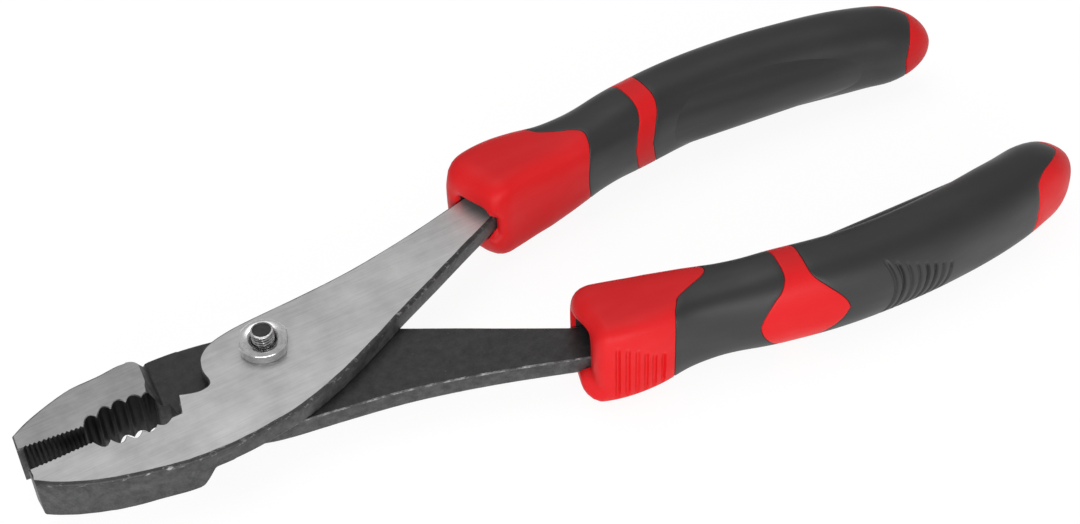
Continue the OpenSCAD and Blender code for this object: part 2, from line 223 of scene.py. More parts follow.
def turned_profile(name, profile, sides):
    """A shape turned about the pivot axis from a closed profile of (radius, height)."""
    bpy.ops.object.select_all(action="DESELECT")
    bpy.ops.mesh.primitive_circle_add(vertices=len(profile), radius=1, fill_type="NOTHING")
    piece = named(name)
    for corner, (radius, height) in zip(piece.data.vertices, profile):
        corner.co = Vector((radius, 0, height)) * MM
    edit(piece)
    bpy.ops.mesh.select_all(action="SELECT")
    bpy.ops.mesh.spin(steps=sides, angle=2 * math.pi, center=(0, 0, 0), axis=(0, 0, 1))
    bpy.ops.mesh.select_all(action="SELECT")
    bpy.ops.mesh.remove_doubles(threshold=MERGE * MM)
    bpy.ops.mesh.normals_make_consistent(inside=False)
    done()
    return piece


def cut_flat(turn, reach):
    """In edit mode, takes away what lies beyond reach in the direction turn, and closes the cut."""
    out = Vector((math.cos(turn), math.sin(turn), 0))
    bpy.ops.mesh.select_all(action="SELECT")
    bpy.ops.mesh.bisect(plane_co=out * reach * MM, plane_no=out, use_fill=True, clear_outer=True)


def sharp(edge, angle=30):
    return len(edge.link_faces) == 2 and edge.calc_face_angle() > math.radians(angle)


def dress(piece, body, nodes, finishes):
    """Gives a piece its materials and body, and hides the nodes that it stands for."""
    while len(piece.data.materials) < len(finishes):
        piece.data.materials.append(None)
    for i, finish in enumerate(finishes):
        piece.data.materials[i] = finish
    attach(piece, body)
    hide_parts(*nodes)


# Materials

def colour(code):
    shares = [int(code[i:i + 2], 16) / 255 for i in (1, 3, 5)]
    linear = [s / 12.92 if s <= 0.04045 else ((s + 0.055) / 1.055) ** 2.4 for s in shares]
    return (*linear, 1)


def add(tree, kind, inputs=None, **settings):
    """Adds a node, sets it, and fills its inputs, by name or number, with values or links. MapRange has its
    value at 0, its old range at 1 and 2 and its new one at 3 and 4. Mix has its share at 0 and its colours
    at 6 and 7."""
    node = tree.nodes.new("ShaderNode" + kind)
    for key, value in settings.items():
        setattr(node, key, value)
    for key, value in (inputs or {}).items():
        if isinstance(value, bpy.types.NodeSocket):
            tree.links.new(value, node.inputs[key])
        else:
            node.inputs[key].default_value = value
    return node


def new_finish(name, **shader_values):
    """A material with its shader, and the piece's own coordinates in millimetres."""
    finish = bpy.data.materials.new(name)
    finish.use_nodes = True
    tree = finish.node_tree
    tree.nodes.clear()
    shader = add(tree, "BsdfPrincipled")
    for key, value in shader_values.items():
        shader.inputs[key.replace("_", " ")].default_value = value
    add(tree, "OutputMaterial", {"Surface": shader.outputs[0]})
    place = add(tree, "TexCoord").outputs["Object"]
    in_mm = add(tree, "VectorMath", {0: place, "Scale": 1 / MM}, operation="SCALE").outputs[0]
    return finish, tree, shader, in_mm


def ground_steel(name, bright, dull, cloud_size, grain_turn):
    """Forged steel ground on a belt: fine lines along the lever, cloudy where the belt pressed less."""
    finish, tree, shader, in_mm = new_finish(name, Metallic=0.7)
    turn = add(tree, "Mapping", {0: in_mm, "Rotation": (0, 0, grain_turn)}).outputs[0]
    # The lines are 0.1 mm apart on the tool; they are drawn 0.16 mm wide so that they show.
    line_len, line_w = 8, 0.16
    streak_len, streak_w = 14, 0.6
    line_rate = (1 / line_len, 1 / line_w, 1 / line_w)
    streak_rate = (1 / streak_len, 1 / streak_w, 1 / streak_w)
    lines_at = add(tree, "VectorMath", {0: turn, 1: line_rate}, operation="MULTIPLY").outputs[0]
    lines = add(tree, "TexNoise", {0: lines_at, "Scale": 1, "Detail": 3, "Roughness": 0.5}).outputs[0]
    streak_at = add(tree, "VectorMath", {0: turn, 1: streak_rate}, operation="MULTIPLY").outputs[0]
    streaks = add(tree, "TexNoise", {0: streak_at, "Scale": 1, "Detail": 3}).outputs[0]
    clouds = add(tree, "TexNoise", {0: in_mm, "Scale": 1 / cloud_size, "Detail": 4, "Roughness": 0.6})
    clouds = clouds.outputs[0]
    tone = add(tree, "Math", {0: lines, 1: 0.45, 2: clouds}, operation="MULTIPLY_ADD").outputs[0]
    tone = add(tree, "Math", {0: streaks, 1: 0.35, 2: tone}, operation="MULTIPLY_ADD").outputs[0]
    share = add(tree, "MapRange", {0: tone, 1: 0.65, 2: 1.35}).outputs[0]
    shade = add(tree, "Mix", {0: share, 6: colour(dull), 7: colour(bright)}, data_type="RGBA").outputs[2]
    tree.links.new(shade, shader.inputs["Base Color"])
    rough = add(tree, "MapRange", {0: clouds, 1: 0.3, 2: 0.7, 3: 0.46, 4: 0.37}).outputs[0]
    tree.links.new(rough, shader.inputs["Roughness"])
    bump = add(tree, "Bump", {"Height": lines, "Strength": 0.15, "Distance": 0.02 * MM}).outputs[0]
    tree.links.new(bump, shader.inputs["Normal"])
    return finish


def black_oxide(name, dark, pale, bare, wear, gloss=0.5):
    """Forged steel blackened in an oxide bath: nearly black, faintly scaly, rubbed bare on its edges."""
    finish, tree, shader, in_mm = new_finish(name, Specular_IOR_Level=gloss)
    scale_size, pit_size = 2.2, 0.5
    rub_len, rub_w = 2.4, 1.2
    rub_rate = (1 / rub_len, 1 / rub_w, 1 / rub_w)
    scale = add(tree, "TexNoise", {0: in_mm, "Scale": 1 / scale_size, "Detail": 6, "Roughness": 0.7})
    scale = scale.outputs[0]
    pits = add(tree, "TexNoise", {0: in_mm, "Scale": 1 / pit_size, "Detail": 3}).outputs[0]
    share = add(tree, "MapRange", {0: scale, 1: 0.35, 2: 0.7}).outputs[0]
    shade = add(tree, "Mix", {0: share, 6: colour(dark), 7: colour(pale)}, data_type="RGBA").outputs[2]
    rub_at = add(tree, "VectorMath", {0: in_mm, 1: rub_rate}, operation="MULTIPLY").outputs[0]
    rub = add(tree, "TexNoise", {0: rub_at, "Scale": 1, "Detail": 5, "Roughness": 0.7}).outputs[0]
    worn = add(tree, "MapRange", {0: rub, 1: wear[0], 2: wear[1]}).outputs[0]
    shade = add(tree, "Mix", {0: worn, 6: shade, 7: colour(bare)}, data_type="RGBA").outputs[2]
    tree.links.new(shade, shader.inputs["Base Color"])
    tree.links.new(worn, shader.inputs["Metallic"])
    rough = add(tree, "MapRange", {0: pits, 1: 0.3, 2: 0.7, 3: 0.4, 4: 0.58}).outputs[0]
    tree.links.new(rough, shader.inputs["Roughness"])
    bump = add(tree, "Bump", {"Height": pits, "Strength": 0.35, "Distance": 0.05 * MM}).outputs[0]
    tree.links.new(bump, shader.inputs["Normal"])
    return finish


def turned_steel(name, bright, dull, roughness):
    """Plated steel turned on a lathe: smooth and mirror-like, with faint rings and handling marks."""
    finish, tree, shader, in_mm = new_finish(name, Metallic=1, Anisotropic=0.7)
    # The lathe's fine rings draw the highlights out across them.
    ring_way = add(tree, "Tangent", direction_type="RADIAL", axis="Z").outputs[0]
    tree.links.new(ring_way, shader.inputs["Tangent"])
    radius = add(tree, "VectorMath", {0: in_mm, 1: (1, 1, 0)}, operation="MULTIPLY").outputs[0]
    radius = add(tree, "VectorMath", {0: radius}, operation="LENGTH").outputs["Value"]
    tool_mark_w, handling_mark_w = 0.25, 1.3
    rings = add(tree, "TexNoise", {"W": radius, "Scale": 1 / tool_mark_w, "Detail": 2},
                noise_dimensions="1D").outputs[0]
    marks = add(tree, "TexNoise", {0: in_mm, "Scale": 1 / handling_mark_w, "Detail": 5, "Roughness": 0.65})
    marks = marks.outputs[0]
    share = add(tree, "MapRange", {0: marks, 1: 0.35, 2: 0.65}).outputs[0]
    shade = add(tree, "Mix", {0: share, 6: colour(dull), 7: colour(bright)}, data_type="RGBA").outputs[2]
    tree.links.new(shade, shader.inputs["Base Color"])
    rough = add(tree, "MapRange", {0: marks, 1: 0.3, 2: 0.7, 3: roughness + 0.06, 4: roughness}).outputs[0]
    tree.links.new(rough, shader.inputs["Roughness"])
    bump = add(tree, "Bump", {"Height": rings, "Strength": 0.08, "Distance": 0.02 * MM}).outputs[0]
    tree.links.new(bump, shader.inputs["Normal"])
    return finish


def moulded_rubber(name, body, faded, roughness, gloss, grain_depth):
    """Thermoplastic rubber from a spark-eroded mould: a fine matt grain, paler where hands rub it."""
    finish, tree, shader, in_mm = new_finish(name, Specular_IOR_Level=gloss)
    # The mould's grain is about 0.1 mm; it is drawn at 0.35 mm so that it shows.
    grain_size = 0.35
    flow_len, flow_w = 26, 9
    flow_rate = (1 / flow_len, 1 / flow_w, 1 / flow_w)
    grain = add(tree, "TexNoise", {0: in_mm, "Scale": 1 / grain_size, "Detail": 3, "Roughness": 0.6})
    grain = grain.outputs[0]
    flow_at = add(tree, "VectorMath", {0: in_mm, 1: flow_rate}, operation="MULTIPLY").outputs[0]
    flow = add(tree, "TexNoise", {0: flow_at, "Scale": 1, "Detail": 3, "Roughness": 0.5}).outputs[0]
    share = add(tree, "MapRange", {0: flow, 1: 0.42, 2: 0.72}).outputs[0]
    shade = add(tree, "Mix", {0: share, 6: colour(body), 7: colour(faded)}, data_type="RGBA").outputs[2]
    tree.links.new(shade, shader.inputs["Base Color"])
    rough = add(tree, "MapRange", {0: flow, 1: 0.3, 2: 0.7, 3: roughness + 0.08, 4: roughness - 0.06})
    tree.links.new(rough.outputs[0], shader.inputs["Roughness"])
    bump = add(tree, "Bump", {"Height": grain, "Strength": 0.4, "Distance": grain_depth * MM}).outputs[0]
    tree.links.new(bump, shader.inputs["Normal"])
    return finish


GRAIN_TURN = math.radians(-4)
upper_ground = ground_steel("belt_ground_steel", "#d6d6d6", "#acacac", cloud_size=11, grain_turn=GRAIN_TURN)
# The lower lever's ground face is drawn darker than the upper one's
lower_ground = ground_steel("belt_ground_steel_darker", "#b6b6b6", "#909090", cloud_size=8,
                            grain_turn=GRAIN_TURN)
blackened = black_oxide("black_oxide_steel", "#151516", "#2f2f30", "#8d8d8d", wear=(0.66, 0.8))
# The walls' oxide is paler than the level faces': partly real scuffs, partly a painted sheen
wall_scuffs_and_sheen = black_oxide("black_oxide_scuffed_and_sheen", "#262627", "#4c4c4d", "#7c7c7c", wear=(0.66, 0.86))
dark_edge = black_oxide("black_oxide_edge", "#232324", "#3c3c3c", "#a4a4a4", wear=(0.56, 0.72))
rubbed_edge = black_oxide("black_oxide_rubbed_edge", "#2a2a2b", "#505050", "#a0a0a0", wear=(0.45, 0.66))
# The teeth take an oxide darker and less glossy than the rest: painted shade in the narrow gap between the
# jaws
teeth_painted_shade = black_oxide("black_oxide_teeth_painted_shade", "#080808", "#141415", "#6a6a6a", wear=(0.7, 0.85), gloss=0.2)
plated = turned_steel("plated_turned_steel", "#ececec", "#cfcfcf", roughness=0.12)
stud_steel = turned_steel("plain_turned_steel", "#c9c9c9", "#8f8f8f", roughness=0.22)
red_rubber = moulded_rubber("red_moulded_rubber", "#d8191d", "#dc2428", roughness=0.45, gloss=0.2,
                            grain_depth=0.03)
dark_rubber = moulded_rubber("charcoal_moulded_rubber", "#212121", "#2a2a2a", roughness=0.46, gloss=0.55,
                             grain_depth=0.05)


# Levers

# Rounding of the outline's edges, of the pipe teeth and of the fine teeth
EDGE_R = 0.35
PIPE_EDGE_R = 0.18
TOOTH_R = 0.09
# Level edges longer than this are halved, twice over; they waver by so much, in waves of about this length
EDGE_STEP = 1.6
EDGE_WAVER = 0.12
WAVE_LEN = 3.1
# Without a seed the noise would follow the clock, and the edges would differ from run to run
WAVER_SEED = 1
noise.seed_set(WAVER_SEED)
# Points of a lever that its bevels leave closer than this are merged
SLIVER = 0.005
# How level two points are, how near a face lies to an outer face, and how near a point or an edge to the lap
LEVEL_SLACK = 0.01
FACE_SLACK = 0.05
LAP_SLACK = 0.1
STEP_SLACK = 0.2
# A unit normal's share along an axis: hardly any, half, and nearly all
SLIGHT, HALF, FULL = 0.3, 0.5, 0.995
# Where the teeth are looked for: past these plain lands, and so far into the jaw from the jaw line
TIP_LAND = 1.4
PIPE_LAND = 0.2
THROAT_LAND = 0.3
FINE_REACH = 1.3
PIPE_REACH = 5.6
# Along a lever from its pivot, negative towards the tip: the stretch that holds the step of its lap
STEP_FROM, STEP_TO = -33, -18
# The lower jaw: how deep its belly hangs, and how far the outer edge of its ground face is set in along the
# back and at the rear corner. Each pair is where a form begins and where it is full.
JAW_BELLY = 1.8
BELLY_FRONT, BELLY_REAR = (-56, -42), (-20, -28)
BACK_SET = 1
BACK_FROM = (-45, -36)
CORNER_SET_X, CORNER_SET_Y = 0.55, 0.85
CORNER_FROM = (-33, -28.5)
RIM_REAR, RIM_ACROSS = (-25.5, -28), (-5, -10)
# The order of a lever's finishes
GROUND, BLACK, EDGE, TEETH, WALL = range(5)


def lower_jaw_form(shape, in_blank):
    """The lower jaw's belly, and the outer edge of its ground face set in, most at the rear corner."""
    for corner in shape.verts:
        x, y, z = in_blank(corner.co)
        if z < HEAD_H:
            corner.co.z -= JAW_BELLY * MM * ease(*BELLY_REAR, x) * ease(*BELLY_FRONT, x)
        elif z > JOINT_Z - LAP_SLACK:
            rim = ease(*RIM_REAR, x) * ease(*RIM_ACROSS, y)
            at_corner = ease(*CORNER_FROM, x)
            back = BACK_SET * ease(*BACK_FROM, x) + CORNER_SET_Y * at_corner
            corner.co.x += CORNER_SET_X * at_corner * rim * MM
            corner.co.y -= back * rim * MM


def lever(name, node, side, body, rim_r, finishes):
    """A lever with broken, slightly wavering edges: ground on its outer faces, black elsewhere."""
    top = JOINT_Z + LEVER_T

    def in_blank(point):
        """Where a point lies on the lever: along it from the pivot, across it from the jaw line, and up."""
        turned = Matrix.Rotation(-side * REST_TURN, 3, "Z") @ point / MM
        return turned.x, side * (turned.y + PIVOT_OFFSET), turned.z

    def middle(edge):
        return (edge.verts[0].co + edge.verts[1].co) / 2

    def in_teeth(spot):
        x, y, _ = in_blank(spot)
        reach = FINE_REACH if x < FINE_LEN - JAW_LEN else PIPE_REACH
        return TIP_LAND - JAW_LEN < x < -THROAT - THROAT_LAND and y > -reach

    def in_pipe_teeth(edge):
        spot = middle(edge)
        return in_teeth(spot) and in_blank(spot)[0] > FINE_LEN - JAW_LEN + PIPE_LAND

    def is_flat(edge):
        return abs(edge.verts[0].co.z - edge.verts[1].co.z) < LEVEL_SLACK * MM

    def by_step(edge):
        x, _, z = in_blank(middle(edge))
        return STEP_FROM < x < STEP_TO and side * (z - JOINT_Z) < STEP_SLACK

    def on_outer_rim(edge):
        if min(corner.co.z for corner in edge.verts) < (top - LEVEL_SLACK) * MM:
            return False
        return any(abs(face.normal.z) < SLIGHT and side * face.normal.y < -SLIGHT
                   for face in edge.link_faces)

    select_only(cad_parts[node])
    bpy.ops.object.duplicate()
    piece = named(name)
    piece.parent = None
    for key in [k for k in piece.keys() if k.startswith("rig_")]:
        del piece[key]
    piece.data.materials.clear()
    for _ in finishes:
        piece.data.materials.append(None)
    edit(piece)
    bpy.ops.mesh.customdata_custom_splitnormals_clear()
    bpy.ops.mesh.select_all(action="SELECT")
    bpy.ops.mesh.remove_doubles(threshold=MERGE * MM)
    bpy.ops.mesh.dissolve_limited(angle_limit=math.radians(0.3))
    for _ in range(2):
        pick("EDGE", lambda e: sharp(e) and e.calc_length() > EDGE_STEP * MM
             and is_flat(e) and e.verts[0].co.x < GRIP_START * MM)
        bpy.ops.mesh.subdivide(number_cuts=1)
    if side < 0:
        lower_jaw_form(bmesh.from_edit_mesh(piece.data), in_blank)
        bmesh.update_edit_mesh(piece.data)
    pick("EDGE", lambda e: sharp(e) and on_outer_rim(e) and not in_teeth(middle(e)))
    bpy.ops.mesh.bevel(offset=rim_r * MM, segments=4, profile=0.5, clamp_overlap=False, material=EDGE)
    pick("EDGE", lambda e: sharp(e) and is_flat(e) and not in_teeth(middle(e)) and not by_step(e))
    bpy.ops.mesh.bevel(offset=EDGE_R * MM, segments=2, profile=0.6, clamp_overlap=False, material=EDGE)
    pick("EDGE", lambda e: sharp(e, 60) and not in_teeth(middle(e)))
    bpy.ops.mesh.bevel(offset=EDGE_R / 2 * MM, segments=2, clamp_overlap=True, material=EDGE)
    pick("EDGE", lambda e: sharp(e, 40) and in_pipe_teeth(e) and is_flat(e))
    bpy.ops.mesh.bevel(offset=PIPE_EDGE_R * MM, segments=2, clamp_overlap=False, material=EDGE)
    # The fine teeth's rounded edges take the teeth's darker oxide, painted shade too
    pick("EDGE", lambda e: sharp(e, 40) and in_teeth(middle(e)) and not in_pipe_teeth(e))
    bpy.ops.mesh.bevel(offset=TOOTH_R * MM, segments=1, clamp_overlap=True, material=TEETH)
    bpy.ops.mesh.select_all(action="SELECT")
    bpy.ops.mesh.remove_doubles(threshold=SLIVER * MM)
    done()

    shape = bmesh.new()
    shape.from_mesh(piece.data)
    for face in shape.faces:
        spot = face.calc_center_median()
        level = abs(face.normal.z) > FULL
        outside = level and not HEAD_H + FACE_SLACK <= spot.z / MM <= top - FACE_SLACK
        face.smooth = not level
        if outside:
            face.material_index = GROUND
            for corner in face.verts:
                corner.tag = True
        # The teeth's walls take the darker oxide, as painted shade between the jaws
        elif in_teeth(spot) and abs(face.normal.z) < SLIGHT:
            face.material_index = TEETH
        elif face.material_index != EDGE:
            # Level faces inside take the plain oxide; the walls take the paler oxide with its painted sheen
            face.material_index = BLACK if abs(face.normal.z) > HALF else WALL
    for corner in shape.verts:
        if corner.tag and corner.co.x < GRIP_START * MM:
            waver = noise.noise_vector(corner.co / MM / WAVE_LEN) * EDGE_WAVER * MM
            corner.co += Vector((waver.x, waver.y, 0))
    shape.to_mesh(piece.data)
    shape.free()
    dress(piece, body, [node], finishes)


lever("upper_forged_lever", "upper_lever", 1, "upper_arm", rim_r=0.9,
      finishes=[upper_ground, blackened, dark_edge, teeth_painted_shade, wall_scuffs_and_sheen])
lever("lower_forged_lever", "lower_lever", -1, "lower_arm", rim_r=0.5,
      finishes=[lower_ground, blackened, rubbed_edge, teeth_painted_shade, wall_scuffs_and_sheen])


# Pivot

ROUND_PIVOT = 72
# The nut and the stud are a little larger than their solids, as the photograph shows them
NUT_H = 3
NUT_BORE_GAP = 0.08
NUT_LEAD_IN = 0.3
NUT_FOOT_IN = 0.35
NUT_FOOT_LOW, NUT_FOOT_HIGH = 0.25, 0.4
NUT_CHAMFER = 0.5
CHAMFER_SHARES = [(0, 1), (0.16, 0.72), (0.8, 0.12), (1, 0)]
NUT_SINK_W, NUT_SINK_H = 0.95, 0.75
NUT_SINK_EDGE_W, NUT_SINK_EDGE_H = 0.15, 0.06
STUD_D = 5.3
STUD_ROOT = 1
STUD_CHAMFER = 0.12
# The stud's end: a bright ring, raised a little, round a sunk dark disc
END_RISE = 0.05
END_SHARE = 0.86
DISC_SINK = 0.2
DISC_SHARE = 0.96
DARK_SHARE = 0.84
THREAD_PITCH = 0.8
THREAD_DEPTH = 0.45
THREAD_ROWS_PER_TURN = 10
# The thread's flanks and flat crest, where it fades below the stud's end, and where the painted shade in its
# valley ends
FLANK_SLOPE = 1.25
CREST_FLAT = 0.12
THREAD_FADE = (0.1, 0.6)
VALLEY_SHADE_END = 0.3
# The bolt's head: its rounded edges, the rim round its dished face, and the dish
HEAD_EDGE_R = 0.6
HEAD_SEAT_R = 0.2
HEAD_RIM_W = 1.6
HEAD_DISH_W = 0.2
HEAD_DISH = 0.15
HEAD_SLACK = 0.1
JOURNAL_CHAMFER = 0.2


def nut():
    """A round nut with two flats, a stepped foot, a chamfered rim and a countersunk bore."""
    bore = STUD_D / 2 + NUT_BORE_GAP
    rim = NUT_D / 2
    foot = rim - NUT_FOOT_IN
    sink = bore + NUT_SINK_W
    top = NUT_LOW + NUT_H
    profile = [(bore, NUT_LOW + NUT_LEAD_IN), (bore + NUT_LEAD_IN, NUT_LOW), (foot, NUT_LOW)]
    profile += [(foot, NUT_LOW + NUT_FOOT_LOW), (rim, NUT_LOW + NUT_FOOT_HIGH)]
    profile += [(rim - across * NUT_CHAMFER, top - down * NUT_CHAMFER) for across, down in CHAMFER_SHARES]
    profile += [(sink, top), (sink - NUT_SINK_EDGE_W, top - NUT_SINK_EDGE_H), (bore, top - NUT_SINK_H)]
    piece = turned_profile("pivot_round_nut", profile, ROUND_PIVOT)
    edit(piece)
    for turn in (NUT_TURN, NUT_TURN + math.pi):
        cut_flat(turn, NUT_FLAT / 2)
    bpy.ops.mesh.select_all(action="SELECT")
    bpy.ops.mesh.remove_doubles(threshold=MERGE * MM)
    done()
    bpy.ops.object.shade_smooth_by_angle(angle=math.radians(28))
    dress(piece, "pivot", ["pivot_nut"], [plated])


def thread():
    """The stud: rows of a grid wound to a screw thread, with a chamfered end."""
    low = NUT_LOW - STUD_ROOT
    rows = round((STUD_TOP - low) / THREAD_PITCH * THREAD_ROWS_PER_TURN)
    rings = []
    for j in range(rows + 1):
        z = low + (STUD_TOP - low) * j / rows
        ring = []
        for k in range(ROUND_PIVOT):
            angle = 2 * math.pi * k / ROUND_PIVOT
            wind = (z / THREAD_PITCH - k / ROUND_PIVOT) % 1
            dip = min(1, max(0, FLANK_SLOPE * abs(2 * wind - 1) - CREST_FLAT))
            radius = STUD_D / 2 - THREAD_DEPTH * dip * ease(*THREAD_FADE, STUD_TOP - z)
            radius = min(radius, STUD_D / 2 - STUD_CHAMFER + (STUD_TOP - z))
            ring.append((radius * math.cos(angle), radius * math.sin(angle), z))
        rings.append(ring)
    rings.append([(x * END_SHARE, y * END_SHARE, z + END_RISE) for x, y, z in rings[-1]])
    rings.append([(x * DISC_SHARE, y * DISC_SHARE, z - DISC_SINK) for x, y, z in rings[-1]])
    rings.append([(0, 0, STUD_TOP + END_RISE - DISC_SINK)] * ROUND_PIVOT)
    rings.insert(0, [(0, 0, low)] * ROUND_PIVOT)
    return wrapped("stud", rings)


def rod(name, diameter, low, high):
    """A cylinder on the pivot axis between two heights, as a start for the bolt's parts."""
    bpy.ops.object.select_all(action="DESELECT")
    bpy.ops.mesh.primitive_cylinder_add(vertices=ROUND_PIVOT, radius=diameter / 2 * MM,
                                        depth=(high - low) * MM,
                                        location=(0, 0, (high + low) / 2 * MM))
    piece = named(name)
    apply_place(piece)
    return piece


def bolt():
    """The bolt: a head with a dished face, a flatted shank in the slot, a round journal and the stud."""
    head = rod("pivot_shouldered_bolt", HEAD_D, 0, HEAD_H)
    edit(head)
    pick("EDGE", lambda e: sharp(e) and max(v.co.z for v in e.verts) < HEAD_SLACK * MM)
    bpy.ops.mesh.bevel(offset=HEAD_EDGE_R * MM, segments=3)
    pick("EDGE", lambda e: sharp(e) and min(v.co.z for v in e.verts) > (HEAD_H - HEAD_SLACK) * MM)
    bpy.ops.mesh.bevel(offset=HEAD_SEAT_R * MM, segments=2)
    pick("FACE", lambda f: f.normal.z < -FULL)
    bpy.ops.mesh.inset(thickness=HEAD_RIM_W * MM)
    bpy.ops.mesh.inset(thickness=HEAD_DISH_W * MM, depth=-HEAD_DISH * MM)
    done()
    key = rod("key", SHANK_D, HEAD_H, JOINT_Z)
    edit(key)
    for turn in (-REST_TURN, math.pi - REST_TURN):
        cut_flat(turn, SHANK_FLAT / 2)
    done()
    journal = rod("journal", SHANK_D, JOINT_Z, NUT_LOW)
    edit(journal)
    pick("EDGE", sharp)
    bpy.ops.mesh.bevel(offset=JOURNAL_CHAMFER * MM, segments=1)
    done()
    stud = thread()
    select_only(head, key, journal, stud)
    bpy.ops.object.join()
    bpy.ops.object.shade_smooth_by_angle(angle=math.radians(25))
    for _ in range(2):
        head.data.materials.append(None)
    for face in head.data.polygons:
        out = math.hypot(face.center.x, face.center.y) / MM
        z = face.center.z / MM
        # The thread's valleys take the black oxide as painted shade
        in_valley_shade = out < (STUD_D - THREAD_DEPTH) / 2 and NUT_LOW < z < STUD_TOP - VALLEY_SHADE_END
        on_disc = out < STUD_D / 2 * DARK_SHARE and z > STUD_TOP - DISC_SINK
        if in_valley_shade or on_disc:
            face.material_index = 1
    dress(head, "pivot", ["pivot_bolt"], [stud_steel, blackened])


nut()
bolt()


# Grips

# The angles of the points round a section
AROUND = [2 * math.pi * (k + 0.5) / ROUND_GRIP for k in range(ROUND_GRIP)]
# Grooves on the outer side: how far each lies from the mouth, and how high it reaches
COLLAR_GROOVES = [(6.6, 8), (8.8, 7), (11, 5.7), (13, 4.2), (14.9, 2.8), (17, 2)]
SLEEVE_GROOVES = [(73.6, 9), (75.7, 8), (77.9, 7), (80.1, 6), (82.3, 5), (84.5, 4), (86.7, 3), (88.9, 2)]
# The stretches that hold them, and the rows of faces there
COLLAR_GROOVED, SLEEVE_GROOVED = (5.6, 18.2), (72.2, 90.2)
COLLAR_ROWS, SLEEVE_ROWS = 64, 96
GROOVE_LOW = -9.5
GROOVE_TOP_FADE = 1.3
GROOVE_LOW_FADE = 1.5
GROOVE_HALF = 0.62
GROOVE_FLOOR = 0.35
GROOVE_DEPTH = 0.7
GROOVE_BOW = 0.03
TUBE_ROWS = 12
CAP_ROWS = 28
# A rounded edge at a seam and at the mouth, in shares of its radius: along the grip, and under the skin
SEAM_STEPS = [(0, 1), (0.08, 0.62), (0.3, 0.3), (0.62, 0.08), (1, 0)]
RIM_STEPS = [(0, 1), (0.04, 0.75), (0.14, 0.49), (0.32, 0.27), (0.62, 0.08), (1, 0)]
SMOOTH_BELOW = math.radians(50)


def grip_half_sizes(d):
    draw = math.sqrt(max(0, 1 - max(0, 1 - (GRIP_LEN - d) / TIP_LEN) ** 2))
    share = d / GRIP_LEN
    return GRIP_W * along(WIDTH, share) * draw / 2, GRIP_H * along(HEIGHT, share) * draw / 2


def section(angle, half_w, half_h, square):
    """A point of a rounded-square section in the direction angle: outwards, and up."""
    c, s = math.cos(angle), math.sin(angle)
    if half_w < 1e-6 or half_h < 1e-6:
        return 0, 0
    reach = (abs(c / half_w) ** square + abs(s / half_h) ** square) ** (-1 / square)
    return reach * c, reach * s


def on_skin(d, angle):
    """A point of the grip's skin, from the middle of its section: outwards, and up."""
    half_w, half_h = grip_half_sizes(d)
    return section(angle, half_w, half_h, along(SQUARENESS, d))


def on_grip(side, d, off, up):
    """Where a point beside the grip's centre line lies; side is 1 for the upper grip, -1 for the lower."""
    off += along(SWAY, d)
    up += along(LIFT, d)
    d = d - side * GRIP_SET

    def line(at):
        return Vector((GRIP_START + at, HANDLE_SPREAD * along(CENTRE_LINE, at / GRIP_LEN)))

    way = (line(d + 1) - line(d - 1)).normalized()
    spot = line(d) + off * Vector((-way.y, way.x))
    flat = Vector((spot.x, side * spot.y - PIVOT_OFFSET, 0))
    turned = Matrix.Rotation(side * REST_TURN, 3, "Z") @ flat
    return turned.x, turned.y, JOINT_Z + side * GRIP_RISE + up


def grooved(d, off, up, grooves, bow):
    """How deep a groove lies at a place on the outer side of the grip."""
    if off < 0:
        return 0
    deep = 0
    for middle, high in grooves:
        across = abs(d - (middle - bow * up * up)) / GROOVE_HALF
        if across < 1:
            ends = ease(high, high - GROOVE_TOP_FADE, up)
            ends *= ease(GROOVE_LOW, GROOVE_LOW + GROOVE_LOW_FADE, up)
            deep = max(deep, GROOVE_DEPTH * ease(1, GROOVE_FLOOR, across) * ends)
    return deep


def grip_ring(side, place, inset=0, grooves=(), bow=0):
    """One ring round the grip: place gives the distance from the mouth at an angle, and inset the depth
    under the skin, as a number or at an angle."""
    ring = []
    for angle in AROUND:
        d = place(angle)
        off, up = on_skin(d, angle)
        sunk = inset(angle) if callable(inset) else inset
        if grooves:
            sunk += grooved(d, off, up, grooves, bow)
        if sunk:
            half_w, half_h = grip_half_sizes(d)
            off, up = section(angle, max(0, half_w - sunk), max(0, half_h - sunk), along(SQUARENESS, d))
        ring.append(on_grip(side, d, off, up))
    return ring


def straight(d):
    return lambda angle: d


def edge_line(table, shift=0):
    return lambda angle: along(table, fold(angle)) + shift


def between_lines(start, end, share):
    return lambda angle: start(angle) + (end(angle) - start(angle)) * share


def seam_in(side, line):
    """The rounded start of a moulding at a line, from under the skin out to it."""
    return [grip_ring(side, lambda a, s=shift: line(a) + s * SEAM_R, depth * SEAM_R)
            for shift, depth in SEAM_STEPS]


def seam_out(side, line):
    """The rounded end of a moulding at a line, from the skin down under it."""
    return [grip_ring(side, lambda a, s=shift: line(a) - s * SEAM_R, depth * SEAM_R)
            for shift, depth in reversed(SEAM_STEPS)]


def skin(side, start, end, rows):
    """Rings between two lines, without the lines themselves."""
    return [grip_ring(side, between_lines(start, end, i / rows)) for i in range(1, rows)]


def sleeve(side, name, body, node, start, end, middle):
    """A dark sleeve: a closed shell with rounded ends, lying in a recess of the red moulding."""
    rings = [grip_ring(side, start, SLEEVE_T)]
    rings += seam_in(side, start)
    rings += middle
    rings += seam_out(side, end)
    rings.append(grip_ring(side, end, SLEEVE_T))
    rings.append(rings[0])
    piece = wrapped(name, rings)
    bpy.ops.object.shade_smooth_by_angle(angle=SMOOTH_BELOW)
    dress(piece, body, [node], [dark_rubber])


